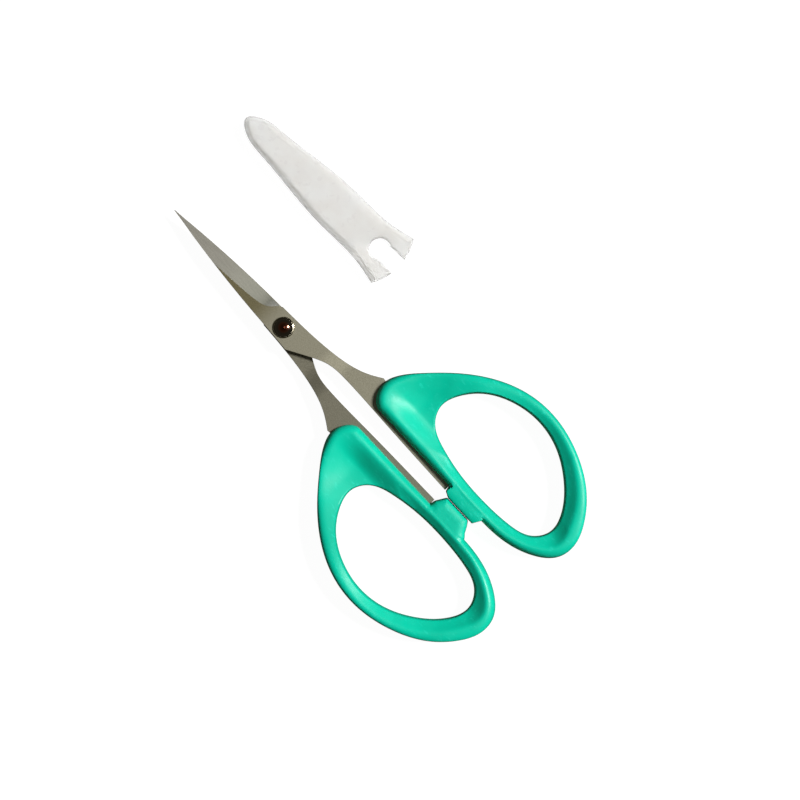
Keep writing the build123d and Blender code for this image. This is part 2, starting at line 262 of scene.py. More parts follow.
def filled_plan(loops, rows, grid, creases):
    """Triangles that fill an outline round its holes: points, corners, and which points each loop has.

    Rows of points follow the loops at the given distances, and a grid fills the middle.
    """
    edges = [Edge(loop) for loop in loops]
    crease_edges = [Edge(line, closed=False) for line in creases]
    verts, links, starts = [], [], []
    for loop in loops:
        first = len(verts)
        starts.append(first)
        verts += loop.tolist()
        links += [(first + i, first + (i + 1) % len(loop)) for i in range(len(loop))]
    for line in creases:
        first = len(verts)
        verts += line.tolist()
        links += [(first + i, first + i + 1) for i in range(len(line) - 1)]

    def add(points, gap, crease_gap):
        """Adds the points that lie in the plan, clear of its outlines and creases."""
        points = points[in_plan(points, loops)]
        points = points[np.min([e.distance(points) for e in edges], axis=0) > gap]
        for e in crease_edges:
            points = points[e.distance(points) > crease_gap]
        verts.extend(points.tolist())

    for d in rows:
        for loop in loops:
            add(loop + inward(loop) * d, ROW_TO_OUTLINE * d, ROW_TO_CREASE * grid)
    low, high = loops[0].min(0), loops[0].max(0)
    xs = np.arange(low[0], high[0], grid)
    ys = np.arange(low[1], high[1], grid * math.sqrt(0.75))
    gx, gy = np.meshgrid(xs, ys)
    gx[1::2] += grid / 2
    add(np.c_[gx.ravel(), gy.ravel()], max(rows) + GRID_TO_ROWS * grid, GRID_TO_CREASE * grid)

    flat, _, faces, sources, _, _ = delaunay_2d_cdt([Vector(v) for v in verts], links, [], 0, 1e-6)
    plan = np.array(flat)
    tris = np.array([face for face in faces if len(face) == 3])
    tris = tris[in_plan(plan[tris].mean(1), loops)]
    index = {source: k for k, merged in enumerate(sources) for source in merged}
    rings = [[index[first + i] for i in range(len(loop))] for first, loop in zip(starts, loops)]
    return plan, tris, rings


def plan_solid(name, outer, holes, top, bottom, rows, grid, bulge=0.0, creases=()):
    """A closed mesh from its plan: outlines, and functions that give the top's and the bottom's height.

    The side walls swell by bulge at half height. Creases are lines the mesh keeps as edges.
    """
    loops = [outer if area(outer) > 0 else outer[::-1]]
    loops += [hole if area(hole) < 0 else hole[::-1] for hole in holes]
    plan, tris, rings = filled_plan(loops, rows, grid, creases)
    n = len(plan)
    z_top, z_bottom = top(plan), bottom(plan)
    points = [np.c_[plan, z_top], np.c_[plan, z_bottom]]
    walls = []
    for loop, ring in zip(loops, rings):
        belt = sum(len(p) for p in points)
        swollen = plan[ring] - inward(loop) * bulge
        points.append(np.c_[swollen, (z_top[ring] + z_bottom[ring]) / 2])
        for i in range(len(ring)):
            j = (i + 1) % len(ring)
            walls.append((ring[j], ring[i], belt + i, belt + j))
            walls.append((belt + j, belt + i, n + ring[i], n + ring[j]))
    return add_mesh(name, np.vstack(points), [*tris, *(n + tris[:, ::-1]), *walls])


def smooth_shade(obj, angle):
    """Smooth shading, with edges sharper than the angle kept crisp."""
    for polygon in obj.data.polygons:
        polygon.use_smooth = True
    obj.data.set_sharp_from_angle(angle=math.radians(angle))


def turn_over(obj):
    """Turns a piece half round the X axis at the meeting plane, from the upper half to the lower."""
    for v in obj.data.vertices:
        v.co.y, v.co.z = -v.co.y, 2 * MEET_Z * MM - v.co.z


def ramp(x, low, high):
    """0 below low, 1 above high, smooth between."""
    t = np.clip((x - low) / (high - low), 0, 1)
    return t * t * (3 - 2 * t)


def over(x, softness):
    """x where it is positive and 0 where it is negative, with a soft corner."""
    return (x + np.sqrt(x * x + softness * softness)) / 2


def quarter_round(distance, radius, fullness=2.0):
    """Share of the full height inside a rounded edge: a quarter ellipse, or squarer if fuller than 2."""
    t = np.clip(distance / radius, 0, 1)
    return (1 - (1 - t) ** fullness) ** (1 / fullness)


# ---- Camera: straight down over the scissors, turned as in a product picture ----
VIEW_CENTRE = (25.78, 6.94)
VIEW_WIDTH = 156.3
VIEW_TURN = 47.03
CAMERA_HEIGHT = 600.0
SENSOR = 36.0

camera_data = bpy.data.cameras.new("camera")
camera_data.sensor_width = SENSOR
camera_data.lens = SENSOR * CAMERA_HEIGHT / VIEW_WIDTH
camera = bpy.data.objects.new("camera", camera_data)
camera.location = (VIEW_CENTRE[0] * MM, VIEW_CENTRE[1] * MM, (CAMERA_HEIGHT + MEET_Z) * MM)
camera.rotation_euler = (0, 0, math.radians(VIEW_TURN))
bpy.context.collection.objects.link(camera)
scene = bpy.context.scene
scene.camera = camera
scene.view_settings.view_transform = "Standard"
scene.view_settings.look = "None"


# ---- Floor and light ----
def node_tree(owner):
    """The empty node tree of a material or world."""
    owner.use_nodes = True
    tree = owner.node_tree
    tree.nodes.clear()
    return tree


FLOOR_GLOW = 0.97
FLOOR_GREY = 0.12
FLOOR_HALF = 30.0    # half the floor's width, in metres
FLOOR_DROP = 0.02    # how far the floor lies below the scissors


def make_floor():
    """A wide plain white floor."""
    mesh = bpy.data.meshes.new("floor")
    s = FLOOR_HALF
    mesh.from_pydata([(-s, -s, 0), (s, -s, 0), (s, s, 0), (-s, s, 0)], [], [(0, 1, 2, 3)])
    floor = bpy.data.objects.new("floor", mesh)
    floor.location.z = -FLOOR_DROP * MM
    floor.visible_diffuse = False  # the floor stays white without lighting the scissors from below
    floor.visible_glossy = False
    bpy.context.collection.objects.link(floor)
    material = bpy.data.materials.new("floor_white")
    tree = node_tree(material)
    shader = tree.nodes.new("ShaderNodeBsdfPrincipled")
    shader.inputs["Base Color"].default_value = (FLOOR_GREY, FLOOR_GREY, FLOOR_GREY, 1)
    shader.inputs["Roughness"].default_value = 0.9
    shader.inputs["Specular IOR Level"].default_value = 0.0
    shader.inputs["Emission Color"].default_value = (1, 1, 1, 1)
    shader.inputs["Emission Strength"].default_value = FLOOR_GLOW
    output = tree.nodes.new("ShaderNodeOutputMaterial")
    tree.links.new(shader.outputs["BSDF"], output.inputs["Surface"])
    mesh.materials.append(material)


make_floor()

KEY_AZIMUTH = 58.0
KEY_ELEVATION = 46.0
KEY_STRENGTH = 4.15
KEY_SPREAD = 14.0
TOP_ELEVATION = 84.0
TOP_STRENGTH = 0.05  # a faint light from above, for the glint on the pivot
TOP_SPREAD = 5.0


def add_light(name, azimuth, elevation, strength, spread):
    """A soft light from a direction, in degrees round from +X and up from the floor."""
    data = bpy.data.lights.new(name, "SUN")
    data.energy = strength
    data.angle = math.radians(spread)
    light = bpy.data.objects.new(name, data)
    a, e = math.radians(azimuth), math.radians(elevation)
    towards = Vector((math.cos(a) * math.cos(e), math.sin(a) * math.cos(e), math.sin(e)))
    light.rotation_mode = "QUATERNION"
    light.rotation_quaternion = towards.to_track_quat("Z", "Y")
    bpy.context.collection.objects.link(light)


add_light("key", KEY_AZIMUTH, KEY_ELEVATION, KEY_STRENGTH, KEY_SPREAD)
add_light("top", KEY_AZIMUTH, TOP_ELEVATION, TOP_STRENGTH, TOP_SPREAD)

# The room's grey by direction: 0 is straight down, 0.5 is the horizon and 1 is straight up.
ROOM = [(0, 0.05), (0.5, 0.12), (0.62, 0.08), (0.8, 0.08), (1, 0.02)]
ROOM_TINT = (1.0, 0.96, 0.75)


def make_room():
    """Plain, dim surroundings, lightest at the horizon."""
    world = bpy.data.worlds.new("studio")
    scene.world = world
    tree = node_tree(world)
    where = tree.nodes.new("ShaderNodeTexCoord")
    split = tree.nodes.new("ShaderNodeSeparateXYZ")
    height = tree.nodes.new("ShaderNodeMapRange")
    height.inputs["From Min"].default_value = -1
    room = tree.nodes.new("ShaderNodeValToRGB")
    for _ in ROOM[2:]:
        room.color_ramp.elements.new(0.5)
    for stop, (position, grey) in zip(room.color_ramp.elements, ROOM):
        stop.position = position
        stop.color = (*(grey * t for t in ROOM_TINT), 1)
    background = tree.nodes.new("ShaderNodeBackground")
    output = tree.nodes.new("ShaderNodeOutputWorld")
    tree.links.new(where.outputs["Generated"], split.inputs["Vector"])
    tree.links.new(split.outputs["Z"], height.inputs["Value"])
    tree.links.new(height.outputs["Result"], room.inputs["Fac"])
    tree.links.new(room.outputs["Color"], background.inputs["Color"])
    tree.links.new(background.outputs["Background"], output.inputs["Surface"])


make_room()


# ---- Materials ----
class Material:
    """A Principled material with patterns in the piece's own space for its colour, roughness and bump."""

    def __init__(self, name, color, roughness, metallic=0.0, **sockets):
        self.material = bpy.data.materials.new(name)
        self.tree = node_tree(self.material)
        self.shader = self.add("ShaderNodeBsdfPrincipled")
        self.shader.inputs["Base Color"].default_value = (*color, 1)
        self.shader.inputs["Roughness"].default_value = roughness
        self.shader.inputs["Metallic"].default_value = metallic
        for socket, value in sockets.items():
            self.shader.inputs[socket.replace("_", " ")].default_value = value
        output = self.add("ShaderNodeOutputMaterial")
        self.link(self.shader.outputs["BSDF"], output.inputs["Surface"])
        self.where = self.add("ShaderNodeTexCoord").outputs["Object"]

    def add(self, kind, **settings):
        node = self.tree.nodes.new(kind)
        for setting, value in settings.items():
            setattr(node, setting, value)
        return node

    def link(self, source, target):
        self.tree.links.new(source, target)

    def noise(self, size, detail=2.0, stretch=(1, 1, 1), turn=0.0):
        """A noise pattern whose spots are about size mm across, stretched along the axes."""
        place = self.add("ShaderNodeMapping")
        place.inputs["Scale"].default_value = [1 / (size * MM * k) for k in stretch]
        place.inputs["Rotation"].default_value = (0, 0, turn)
        self.link(self.where, place.inputs["Vector"])
        pattern = self.add("ShaderNodeTexNoise")
        pattern.inputs["Scale"].default_value = 1.0
        pattern.inputs["Detail"].default_value = detail
        self.link(place.outputs["Vector"], pattern.inputs["Vector"])
        return pattern.outputs["Fac"]

    def along(self, axis, low, high):
        """0 to 1 between two places on an axis, in mm."""
        split = self.add("ShaderNodeSeparateXYZ")
        self.link(self.where, split.inputs["Vector"])
        return self.ranged(split.outputs[axis], low * MM, high * MM, 0, 1)

    def ranged(self, source, low, high, to_low, to_high):
        node = self.add("ShaderNodeMapRange", interpolation_type="SMOOTHSTEP")
        for socket, value in zip(("From Min", "From Max", "To Min", "To Max"), (low, high, to_low, to_high)):
            node.inputs[socket].default_value = value
        self.link(source, node.inputs["Value"])
        return node.outputs["Result"]

    def blend(self, share, first, second):
        """A colour between two, each a colour or a socket."""
        node = self.add("ShaderNodeMix", data_type="RGBA")
        self.link(share, node.inputs["Factor"])
        for name, color in (("A", first), ("B", second)):
            socket = next(i for i in node.inputs if i.name == name and i.type == "RGBA")
            if isinstance(color, tuple):
                socket.default_value = (*color, 1)
            else:
                self.link(color, socket)
        return next(o for o in node.outputs if o.type == "RGBA")

    def bump(self, source, depth, strength=1.0):
        """Relief of the given depth in mm."""
        node = self.add("ShaderNodeBump")
        node.inputs["Strength"].default_value = strength
        node.inputs["Distance"].default_value = depth * MM
        self.link(source, node.inputs["Height"])
        self.link(node.outputs["Normal"], self.shader.inputs["Normal"])

    def color(self, source):
        self.link(source, self.shader.inputs["Base Color"])

    def roughness(self, source):
        self.link(source, self.shader.inputs["Roughness"])


def teal_plastic():
    """Moulded plastic, faintly clouded and scuffed."""
    m = Material("teal_plastic", (0.0, 0.6, 0.37), 0.4, Specular_IOR_Level=0.3)
    cloud = m.ranged(m.noise(9, 3), 0.35, 0.65, 0, 1)
    scuff = m.ranged(m.noise(0.7, 4, (2.5, 1, 1), 0.6), 0.58, 0.72, 0, 1)
    body = m.blend(cloud, (0.0, 0.56, 0.365), (0.0, 0.62, 0.41))
    m.color(m.blend(scuff, body, (0.01, 0.66, 0.46)))
    m.roughness(m.ranged(m.noise(2.2, 3), 0.3, 0.7, 0.36, 0.46))
    m.bump(m.noise(0.45, 3), 0.02, 0.5)
    return m.material


def blade_steel(name, tone):
    """Satin plate of the given brightness, darker along the blade in front of the pivot; a lower brightness
    is painted shade.
    """
    m = Material(name, (0.4, 0.38, 0.32), 0.55, 1.0)
    grain = m.ranged(m.noise(0.16, 2), 0.3, 0.7, 0, 1)
    plate = m.blend(grain, (0.34 * tone, 0.32 * tone, 0.24 * tone), (0.46 * tone, 0.435 * tone, 0.335 * tone))
    dark = m.blend(grain, (0.165, 0.145, 0.08), (0.25, 0.22, 0.125))
    m.color(m.blend(m.along("X", -7.5, -1.5), dark, plate))
    m.roughness(m.ranged(m.noise(0.3, 2), 0.3, 0.7, 0.6, 0.68))
    m.bump(m.noise(0.14, 2), 0.006, 0.5)
    return m.material


def ground_steel():
    """The hollow ground flank of a blade, with fine lines along it, and a painted highlight towards its
    curved end.
    """
    m = Material("ground_steel", (0.25, 0.25, 0.22), 0.58, 1.0)
    lines = m.ranged(m.noise(0.12, 3, (30, 1, 1)), 0.3, 0.7, 0, 1)
    tip = m.blend(lines, (0.2, 0.19, 0.165), (0.27, 0.26, 0.225))
    heel = m.blend(lines, (0.235, 0.235, 0.195), (0.305, 0.3, 0.255))
    flank = m.blend(m.along("X", -22, -7), tip, heel)
    # painted highlight: the flank turns much lighter towards its curved end, standing in for the bright
    # reflection there
    m.color(m.blend(m.along("X", -6, -3.8), flank, (0.7, 0.7, 0.66)))
    m.roughness(m.ranged(lines, 0, 1, 0.6, 0.68))
    m.bump(m.noise(0.1, 2, (40, 1, 1)), 0.003, 0.5)
    return m.material


def pivot_steel():
    """Polished steel with painted reflections: a dark dome with a reddish middle; the rim is lighter."""
    m = Material("pivot_steel", (0.5, 0.46, 0.42), 0.12, 1.0)
    radius = m.add("ShaderNodeVectorMath", operation="LENGTH")
    flat = m.add("ShaderNodeVectorMath", operation="MULTIPLY")
    flat.inputs[1].default_value = (1, 1, 0)
    m.link(m.where, flat.inputs[0])
    m.link(flat.outputs["Vector"], radius.inputs[0])
    # painted reflections: the dome is darkened as if it mirrored a dim room, and a reddish reflection is
    # painted in its middle; the lighter rim tints the lamp's real reflection on it cream
    painted_reflection_middle = m.ranged(radius.outputs["Value"], 0.7 * MM, 1.3 * MM, 0, 1)
    rim = m.ranged(radius.outputs["Value"], 1.72 * MM, 1.84 * MM, 0, 1)
    dome = m.blend(painted_reflection_middle, (0.3, 0.09, 0.05), (0.13, 0.11, 0.09))
    m.color(m.blend(rim, dome, (0.42, 0.38, 0.28)))
    m.roughness(m.ranged(m.noise(0.5, 3), 0.3, 0.7, 0.1, 0.2))
    m.bump(m.noise(0.9, 1), 0.002, 0.05)
    return m.material


def sheath_plastic():
    """Milky, see-through plastic."""
    m = Material("sheath_plastic", (0.82, 0.8, 0.77), 0.3, Alpha=0.4, Subsurface_Weight=1.0,
                 Subsurface_Radius=(1, 1, 1), Subsurface_Scale=0.0008)
    cloud = m.ranged(m.noise(5, 3), 0.3, 0.7, 0, 1)
    m.color(m.blend(cloud, (0.9, 0.88, 0.85), (0.95, 0.935, 0.92)))
    m.roughness(m.ranged(m.noise(1.5, 3), 0.3, 0.7, 0.26, 0.4))
    m.bump(m.noise(4, 1), 0.02, 0.3)
    return m.material


TEAL = teal_plastic()
# painted shade: the lower half's steel is a darker copy of the same steel as the upper half's
UPPER_STEEL = blade_steel("upper_steel", 0.88)
SHADED_LOWER_STEEL = blade_steel("lower_steel_painted_shade", 0.62)
GROUND = ground_steel()
PIVOT = pivot_steel()
SHEATH = sheath_plastic()


# ---- Bows ----
def bow_outlines():
    """The bow without its stop, and its finger hole, for the upper half."""
    unit = through(BOW_SHAPE, ends=[(1 / BOW_LENGTH, 0), (1 / BOW_LENGTH, 0)], step=0.002)
    low, high = unit.min(0), unit.max(0)
    size_x = (bow_high.x - bow_low.x) / (high[0] - low[0])
    size_y = (bow_high.y - BOW_INNER_Y) / high[1]
    front_x = bow_low.x - low[0] * size_x
    end_x, top_y = front_x + size_x, BOW_INNER_Y + size_y
    at = [(front_x + u * size_x, BOW_INNER_Y + v * size_y) for u, v in BOW_SHAPE]
    ring = np.vstack([through(at, ends=[(1, 0), (1, 0)])[:-1], spaced([at[-1], at[0]])[:-1]])
    x0, x1 = front_x + WEB, end_x - REAR_LIMB
    y0, y1 = BOW_INNER_Y + INNER_LIMB, top_y - OUTER_LIMB
    hole = through([(x0 + u * (x1 - x0), y0 + v * (y1 - y0)) for u, v in HOLE_SHAPE], closed=True)
    return ring, hole


def stop_outline(lower):
    """The stop in plan as the upper half has it: corners from the front root round to the back root."""
    root = BOW_INNER_Y + STOP_ROOT
    if lower:
        face = -(STOP_CONTACT_Y - STOP_GAP / 2)
        corners = [(STOP_FRONT_X, root), (STOP_FRONT_X, BOW_INNER_Y - 1.0), (STOP_FRONT_X + 1.2, face),
                   (STOP_BACK_X - 1.9, face), (STOP_BACK_X - 1.1, face + 1.05),
                   (STOP_BACK_X - 0.4, face + 2.25), (STOP_BACK_X + 0.3, BOW_INNER_Y - 0.2),
                   (STOP_BACK_X + 0.3, root)]
        radii = [0, 0.3, 0.3, 0.7, 0.5, 0.5, 0.3, 0]
    else:
        face = STOP_CONTACT_Y + STOP_GAP / 2
        corners = [(STOP_FRONT_X, root), (STOP_FRONT_X, face + 0.67), (STOP_FRONT_X + 1.4, face),
                   (STOP_BACK_X - 0.9, face), (STOP_BACK_X - 0.7, face + 0.4), (STOP_BACK_X, BOW_INNER_Y),
                   (STOP_BACK_X, root)]
        radii = [0, 0.3, 0.3, 0.15, 0.15, 0.3, 0]
    return rounded(corners, radii)


def with_stop(ring, stop):
    """The bow's outline with the part of the stop's that stands out of it."""
    out = stop[stop[:, 1] < BOW_INNER_Y]
    x, y = ring.T
    replaced = y < BOW_INNER_Y + STOP_SINK
    replaced &= (x > out[:, 0].min() - STOP_MARGIN) & (x < out[:, 0].max() + STOP_MARGIN)
    first = int(np.flatnonzero(replaced)[0])
    rest = np.roll(ring, -first, axis=0)[~np.roll(replaced, -first)]
    # the bow's outline runs anticlockwise, so along the inner side it goes towards +X, as the stop's does
    path = spaced(np.vstack([rest[-1:], out, rest[:1]]))
    return np.vstack([rest, path[1:-1]])


# Round the bow by angle about the middle of the finger hole: how far the ridge lies inside the
# outline, and how steeply the facet inside it falls to the hole.
RIDGE_ANGLES = [-180, -150, -120, -90, -65, -45, -20, 0, 25, 50, 75, 90, 110, 130, 150, 180]
RIDGE_INSETS = [1.8, 1.75, 1.4, 1.15, 1.2, 1.3, 1.8, 2.5, 1.8, 1.25, 1.2, 1.2, 1.3, 1.5, 1.7, 1.8]
FACET_SLOPES = [0.0, 0.4, 1.1, 1.2, 1.2, 1.1, 1.0, 0.95, 0.85, 0.8, 0.75, 0.6, 0.4, 0.22, 0.1, 0.0]


def bow_height(ring, hole, stop, lower):
    """The bow's half height at points in plan."""
    ring_edge, hole_edge, stop_edge = Edge(ring), Edge(hole), Edge(stop)
    full = (bow_high.z - bow_low.z) / 2
    hole_middle = hole.mean(0)

    def height(points):
        x, y = points[:, 0], points[:, 1]
        d_out = ring_edge.distance(points) * inside(points, ring)
        d_in = hole_edge.distance(points)
        angle = np.degrees(np.arctan2(y - hole_middle[1], x - hole_middle[0]))
        inset = np.interp(angle, RIDGE_ANGLES, RIDGE_INSETS)
        slope = np.interp(angle, RIDGE_ANGLES, FACET_SLOPES)
        beyond = over(d_out - inset, CREASE_SOFTNESS)
        drop = FACET_LIMIT * (1 - np.exp(-slope * beyond / FACET_LIMIT))
        # the hollow in front of the finger hole falls from the inner limb and rises to the outer one
        scoop = SCOOP_DEPTH * ramp(y, *SCOOP_Y[:2]) * (1 - ramp(y, *SCOOP_Y[1:]))
        scoop *= ramp(x, *SCOOP_X[:2]) * (1 - ramp(x, *SCOOP_X[2:]))
        crown = full - np.maximum(drop, scoop)
        outer = ramp(y, *OUTER_Y)
        wall_top = WALL_TOP + (OUTER_WALL_TOP - WALL_TOP) * outer
        limb = wall_top + (crown - wall_top) * quarter_round(d_out, inset, 2 + OUTER_FULLNESS * outer)
        limb = HOLE_WALL_TOP + (limb - HOLE_WALL_TOP) * quarter_round(d_in, HOLE_ROUND)
        # the stop is as high as the limb's ridge and ends there
        d_stop = stop_edge.distance(points) * inside(points, stop)
        from_face = d_stop if lower else y - stop[:, 1].min()
        edge = LOWER_STOP_EDGE if lower else UPPER_STOP_EDGE
        ridge = full - slope * over(np.zeros_like(x), CREASE_SOFTNESS)
        block = edge + (ridge - edge) * quarter_round(from_face, STOP_ROUND)
        return np.where((d_stop > 0) & (d_out < inset), np.maximum(limb, block), limb)

    return height


def make_bow(name, lower):
    """One finger bow with its stop."""
    ring, hole = bow_outlines()
    stop = stop_outline(lower)
    inset = [loop + inward(loop) * WALL_BULGE for loop in (ring, hole[::-1], stop)]
    outline = with_stop(ring, stop)
    outline = outline + inward(outline) * WALL_BULGE
    height = bow_height(*inset, lower)
    bow = plan_solid(
        name, outline, [inset[1]],
        top=lambda p: MEET_Z + height(p), bottom=lambda p: MEET_Z - height(p),
        rows=[0.02, 0.06, 0.13, 0.24, 0.4, 0.6, 0.85, 1.15], grid=0.3, bulge=WALL_BULGE,
    )
    if lower:
        turn_over(bow)
    smooth_shade(bow, angle=40)
    bow.data.materials.append(TEAL)
    return bow


bow_upper = make_bow("bow_upper", lower=False)
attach(bow_upper, "upper_half")
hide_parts("handle_upper")

bow_lower = make_bow("bow_lower", lower=True)
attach(bow_lower, "lower_half")
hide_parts("handle_lower")

# ---- Blades: the same outline as the CAD blades ----
BLADE_LENGTH = 31.4    # from the pivot to the tip
TIP_HALF_WIDTH = 0.06
RICASSO_X = -3.3       # the cutting edge ends here
BLADE_HALF_WIDTH = 2.42
EDGE_INSET = 0.1       # how much nearer the axis the cutting edge is than the back
EDGE_FULLNESS = 0.62   # how far the cutting edge bows out from a straight line
BOSS = (3.3, -2.75)    # where the blade's back ends, behind the pivot
CROTCH = (8.3, 0.15)   # the inner corner where the shank begins
TANG_END_X = 44.6
TANG_INNER_Y = 1.4
TANG_OUTER_Y = 3.6
TANG_START_X = 30.5
SHOULDER = (20.5, 7.5)           # the outer corner where the shank enters the bow
HEEL = (RICASSO_X + 0.2, 2.58)   # the outer corner behind the cutting edge
PLATE = 1.5
PLATE_GAP = 0.02       # between the two halves
EDGE_LAND = 0.3        # height of the cutting edge's upright face
EDGE_CHAMFER = 0.06
BORDER_CLEAR = 0.1     # the grind's border stops this far inside the outline
GRIND_SLOPE = 0.42
GRIND_CLIMB = [(-32, 0), (-14.13, 0), (-10.5, 0.05), (-8, 0.14), (-6.4, 0.26), (-5.3, 0.46), (-4.4, 0.8),
               (-3.6, 1.2), (-3.2, 1.4)]  # how much higher the grind lies towards its curved end
JOGGLE_START_X = 9.0   # the shank's bend, which brings the tang to the middle of the bow
JOGGLE_LENGTH = 6.0
JOGGLE_DROP = 0.76
BARREL_HOLE = 1.3
UPPER_PLATE_Z = MEET_Z + PLATE_GAP / 2


def cutting_edge_y(x):
    """How far the cutting edge lies from the blade's axis."""
    share = (BLADE_LENGTH + x) / (BLADE_LENGTH + RICASSO_X)
    return (BLADE_HALF_WIDTH - EDGE_INSET) * (share + EDGE_FULLNESS * share * (1 - share))


GRIND_CURVE = through(GRIND_CLIMB)


def blade_outline():
    """The upper half in plan: back, boss, inner side, tang, outer side, heel and cutting edge."""
    stations = np.linspace(-BLADE_LENGTH, RICASSO_X, 12)
    inset = np.interp(stations, [-BLADE_LENGTH, RICASSO_X], [0, EDGE_INSET])
    back = np.c_[stations, -cutting_edge_y(stations) - inset]
    back[0] = -BLADE_LENGTH, -TIP_HALF_WIDTH
    edge_x = np.linspace(RICASSO_X, -BLADE_LENGTH, 80)
    edge = np.c_[edge_x, np.maximum(cutting_edge_y(edge_x), TIP_HALF_WIDTH)]
    tang_in, tang_out = (TANG_END_X, TANG_INNER_Y), (TANG_END_X, TANG_OUTER_Y)
    tang_start = (TANG_START_X, TANG_OUTER_Y)
    return np.vstack([
        through([*back, BOSS])[:-1],
        spaced([BOSS, CROTCH])[:-1],
        through([CROTCH, (11, 1.36), (15.5, 1.9), (25, 1.75), tang_in])[:-1],
        spaced([tang_in, tang_out])[:-1],
        spaced([tang_out, tang_start])[:-1],
        through([tang_start, (22.6, 7.2), SHOULDER])[:-1],
        through([SHOULDER, (18, 5.95), (15, 4.7), (10.5, 3.68), (5, 3.03), HEEL])[:-1],
        spaced([HEEL, edge[0]])[:-1],
        spaced(edge),
    ])


def grind_z(points):
    """Height of the ground flank above the plate's inner face."""
    x, y = points[:, 0], points[:, 1]
    climb = np.interp(x, *GRIND_CURVE.T)
    return EDGE_LAND + climb + (cutting_edge_y(x) - y) * GRIND_SLOPE


def make_blade(name, lower):
    """One steel half: blade, shank and tang, with its ground flank."""
    outline = blade_outline()
    ring = Edge(outline)
    hole = arc(0, BARREL_HOLE, 0, 2 * math.pi, 49)[:-1]

    def drop(points):
        """How far the bend has lowered the plate."""
        return JOGGLE_DROP * ramp(points[:, 0], JOGGLE_START_X, JOGGLE_START_X + JOGGLE_LENGTH)

    def softened(points):
        """How much the chamfer takes off."""
        return EDGE_CHAMFER * np.clip(1 - ring.distance(points) / EDGE_CHAMFER, 0, 1)

    def ground(points):
        """Which points the grind reaches."""
        return (points[:, 0] < RICASSO_X) & (grind_z(points) < PLATE)

    def top(points):
        rise = np.where(points[:, 0] < RICASSO_X, np.minimum(grind_z(points), PLATE), PLATE)
        return UPPER_PLATE_Z + rise - drop(points) - softened(points) * ~ground(points)

    def bottom(points):
        return UPPER_PLATE_Z - drop(points) + softened(points) * (points[:, 0] > RICASSO_X)

    # the grind's upper border, kept as an edge of the mesh
    x = np.linspace(-BLADE_LENGTH, RICASSO_X, 300)
    border = np.c_[x, cutting_edge_y(x) - (PLATE - EDGE_LAND - np.interp(x, *GRIND_CURVE.T)) / GRIND_SLOPE]
    border = border[inside(border, outline)]
    border = spaced(border[ring.distance(border) > BORDER_CLEAR])
    blade = plan_solid(name, outline, [hole], top, bottom, rows=[EDGE_CHAMFER], grid=0.35, creases=[border])
    blade.data.materials.append(SHADED_LOWER_STEEL if lower else UPPER_STEEL)
    blade.data.materials.append(GROUND)
    for polygon in blade.data.polygons:
        at = np.array([polygon.center[:2]]) / MM
        polygon.material_index = int(polygon.normal.z > 0.5 and ground(at)[0])
    if lower:
        turn_over(blade)
    smooth_shade(blade, angle=16)
    return blade


blade_upper = make_blade("steel_upper", lower=False)
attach(blade_upper, "upper_half")
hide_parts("blade_upper")

blade_lower = make_blade("steel_lower", lower=True)
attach(blade_lower, "lower_half")
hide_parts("blade_lower")


# ---- Pivot ----
def lathed(name, profile, sides=72):
    """A profile of (radius, height) points turned about the pivot's axis."""
    points, faces, rings = [], [], []
    for radius, z in profile:
        if radius < 1e-6:
            rings.append([len(points)] * sides)
            points.append((0, 0, z))
        else:
            rings.append(list(range(len(points), len(points) + sides)))
            points += [(x, y, z) for x, y in arc(0, radius, 0, 2 * math.pi, sides + 1)[:-1]]
    for low, high in zip(rings, rings[1:]):
        for k in range(sides):
            j = (k + 1) % sides
            faces.append(dict.fromkeys([low[k], low[j], high[j], high[k]]))
    return add_mesh(name, points, faces)


DOME_RADIUS = 1.78
DOME_RIM = 0.12          # height of the rim under the dome
DOME_BEVEL = (0.05, 0.02)  # between the rim and the dome, across and up
RIM_CHAMFER = 0.04
BARREL_RADIUS = 1.25
WASHER_CHAMFER = 0.06
WASHER_ROUND = 0.16


def make_stud():
    """The domed head and the barrel under it."""
    seat, top = washer_high.z, stud_high.z
    profile = [(0, stud_low.z), (BARREL_RADIUS, stud_low.z), (BARREL_RADIUS, seat)]
    profile += [(DOME_RADIUS - RIM_CHAMFER, seat), (DOME_RADIUS, seat + RIM_CHAMFER)]
    profile.append((DOME_RADIUS, seat + DOME_RIM - DOME_BEVEL[1]))
    height = top - seat - DOME_RIM
    half_width = DOME_RADIUS - DOME_BEVEL[0]
    curve = (half_width**2 + height**2) / (2 * height)
    for t in np.linspace(math.asin(half_width / curve), 0, 18):
        profile.append((curve * math.sin(t), top - curve * (1 - math.cos(t))))
    stud = lathed("stud", profile)
    smooth_shade(stud, angle=35)
    stud.data.materials.append(PIVOT)
    return stud


def make_washer():
    """A ring with a chamfer below and a rounded edge above."""
    radius, low, high = washer_high.x, washer_low.z, washer_high.z
    profile = [(BARREL_RADIUS, low), (radius - WASHER_CHAMFER, low), (radius, low + WASHER_CHAMFER)]
    for t in np.linspace(0, math.pi / 2, 7):
        profile.append((radius - WASHER_ROUND * (1 - math.cos(t)), high - WASHER_ROUND * (1 - math.sin(t))))
    profile += [(BARREL_RADIUS, high), (BARREL_RADIUS, low)]
    washer = lathed("washer", profile)
    smooth_shade(washer, angle=35)
    washer.data.materials.append(PIVOT)
    return washer


stud = make_stud()
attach(stud, "lower_half")
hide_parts("pivot_stud")

washer = make_washer()
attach(washer, "lower_half")
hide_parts("pivot_washer")

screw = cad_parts["pivot_screw"]
screw.data.materials.clear()
screw.data.materials.append(PIVOT)
smooth_shade(screw, angle=30)

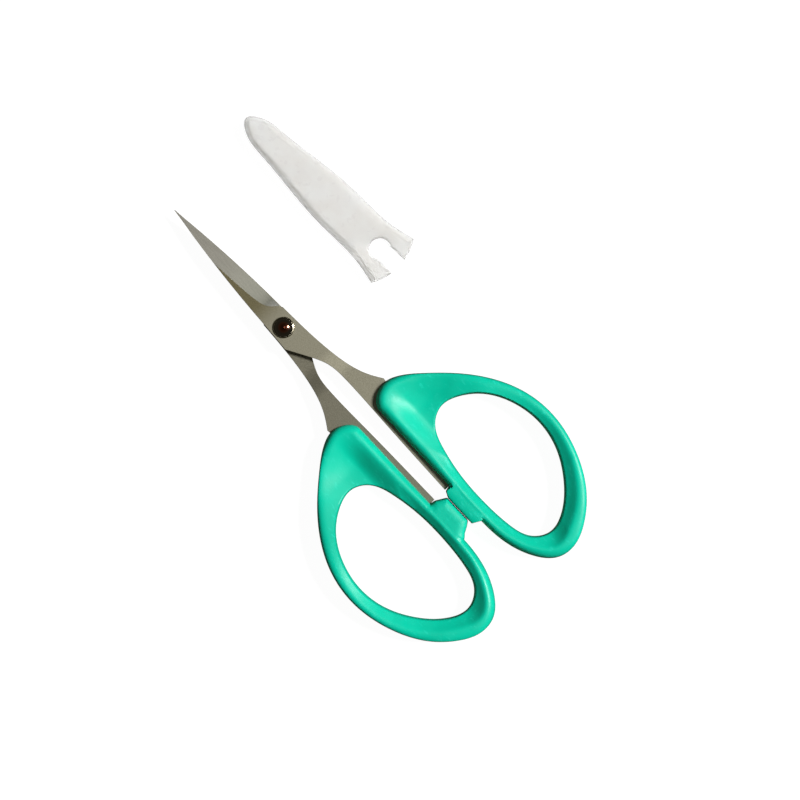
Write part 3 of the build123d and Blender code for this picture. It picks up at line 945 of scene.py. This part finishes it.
# ---- Sheath: drawn along its own axis with the mouth at x = 0, then turned into place ----
SHEATH_TURN = 2.8
SHEATH_AT = (0.16, 24.15)
LEG_LENGTH = 4.7
LEG_HALF_WIDTH = 5.95
SHEATH_LENGTH = 35.2
SHEATH_HALF_WIDTH = 4.94
SHEATH_SIDE = [(0, 1), (-.28, .95), (-.55, .81), (-.8, .62), (-.94, .42), (-1, 0)]  # shares of those two
SHEATH_WALL = 0.7
MOUTH_X = 6.36           # the middle of the mouth's arc
NOTCH_X = 1.3
NOTCH_RADIUS = 2.15
NOTCH_HALF_SLOT = 1.82   # half the width of the slot that opens the notch to the mouth
SHEATH_SIDE_ROUND = 1.3
SHEATH_EDGE_ROUND = 0.25
POCKET_SIDE_ROUND = 1.1
POCKET_OVERRUN = 6.0     # how far the pocket's cutter runs past the legs


def sheath_side(inset=0.0):
    """The sheath's long outline from one leg's corner round the nose to the other leg's."""
    half = SHEATH_HALF_WIDTH - inset
    length = SHEATH_LENGTH - inset
    side = [(LEG_LENGTH, LEG_HALF_WIDTH - inset)]
    side += [(u * length, v * half) for u, v in SHEATH_SIDE]
    side += [(x, -y) for x, y in side[-2::-1]]
    return through(side)


def sheath_outline():
    """The sheath in plan with its notch, and its long side alone."""
    side = sheath_side()
    # the mouth is an arc through the two leg corners and the middle
    rise, half = MOUTH_X - LEG_LENGTH, LEG_HALF_WIDTH
    mouth_radius = (half**2 + rise**2) / (2 * rise)
    corner = math.asin(half / mouth_radius)
    slot_out = math.asin(NOTCH_HALF_SLOT / mouth_radius)
    slot_in = math.asin(NOTCH_HALF_SLOT / NOTCH_RADIUS)
    leg_end = arc(MOUTH_X - mouth_radius, mouth_radius, -corner, -slot_out, 20)
    notch = arc(NOTCH_X, NOTCH_RADIUS, -slot_in, slot_in - 2 * math.pi, 48)
    mouth = np.vstack([leg_end, notch, leg_end[::-1] * (1, -1)])
    return np.vstack([side[:-1], spaced(mouth)[:-1]]), side


def hollow_out(shell, cutter):
    """Cuts one mesh out of another and removes the cutter."""
    cut = shell.modifiers.new("cut", "BOOLEAN")
    cut.operation = "DIFFERENCE"
    cut.solver = "EXACT"
    cut.object = cutter
    ready = shell.evaluated_get(bpy.context.evaluated_depsgraph_get())
    mesh = bpy.data.meshes.new_from_object(ready)
    shell.modifiers.clear()
    shell.data = mesh
    bpy.data.objects.remove(cutter)


def make_sheath():
    """The rounded shell, hollowed by its pocket."""
    outline, side = sheath_outline()
    side_edge, whole = Edge(side, closed=False), Edge(outline)
    middle = (sheath_low.z + sheath_high.z) / 2
    half = (sheath_high.z - sheath_low.z) / 2

    def lift(points):
        """The shell's half height: rounded along its sides, and crisply round its whole edge."""
        soft = quarter_round(side_edge.distance(points), SHEATH_SIDE_ROUND)
        crisp = quarter_round(whole.distance(points), SHEATH_EDGE_ROUND)
        level = half - SHEATH_SIDE_ROUND * (1 - soft)
        return level - SHEATH_EDGE_ROUND * (1 - crisp) * (soft > 0.9)

    shell = plan_solid(
        "sheath", outline, [],
        top=lambda p: middle + lift(p), bottom=lambda p: middle - lift(p),
        rows=[0.04, 0.12, 0.25, 0.45, 0.75, 1.0, 1.3], grid=0.5,
    )
    inner_side = sheath_side(SHEATH_WALL)
    past, across = LEG_LENGTH + POCKET_OVERRUN, LEG_HALF_WIDTH - SHEATH_WALL
    open_end = spaced([inner_side[-1], (past, -across), (past, across), inner_side[0]])
    inner_edge = Edge(inner_side, closed=False)

    def inner_lift(points):
        """The pocket's half height."""
        soft = quarter_round(inner_edge.distance(points), POCKET_SIDE_ROUND)
        return half - SHEATH_WALL - POCKET_SIDE_ROUND * (1 - soft)

    pocket = plan_solid(
        "pocket", np.vstack([inner_side[:-1], open_end[:-1]]), [],
        top=lambda p: middle + inner_lift(p), bottom=lambda p: middle - inner_lift(p),
        rows=[0.06, 0.2, 0.45, 0.8, 1.1], grid=0.8,
    )
    hollow_out(shell, pocket)
    turn = Matrix.Rotation(math.radians(SHEATH_TURN), 4, "Z")
    shell.data.transform(Matrix.Translation((SHEATH_AT[0] * MM, SHEATH_AT[1] * MM, 0)) @ turn)
    smooth_shade(shell, angle=40)
    shell.data.materials.clear()
    shell.data.materials.append(SHEATH)
    return shell


sheath = make_sheath()
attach(sheath, "sheath")
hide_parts("blade_sheath")
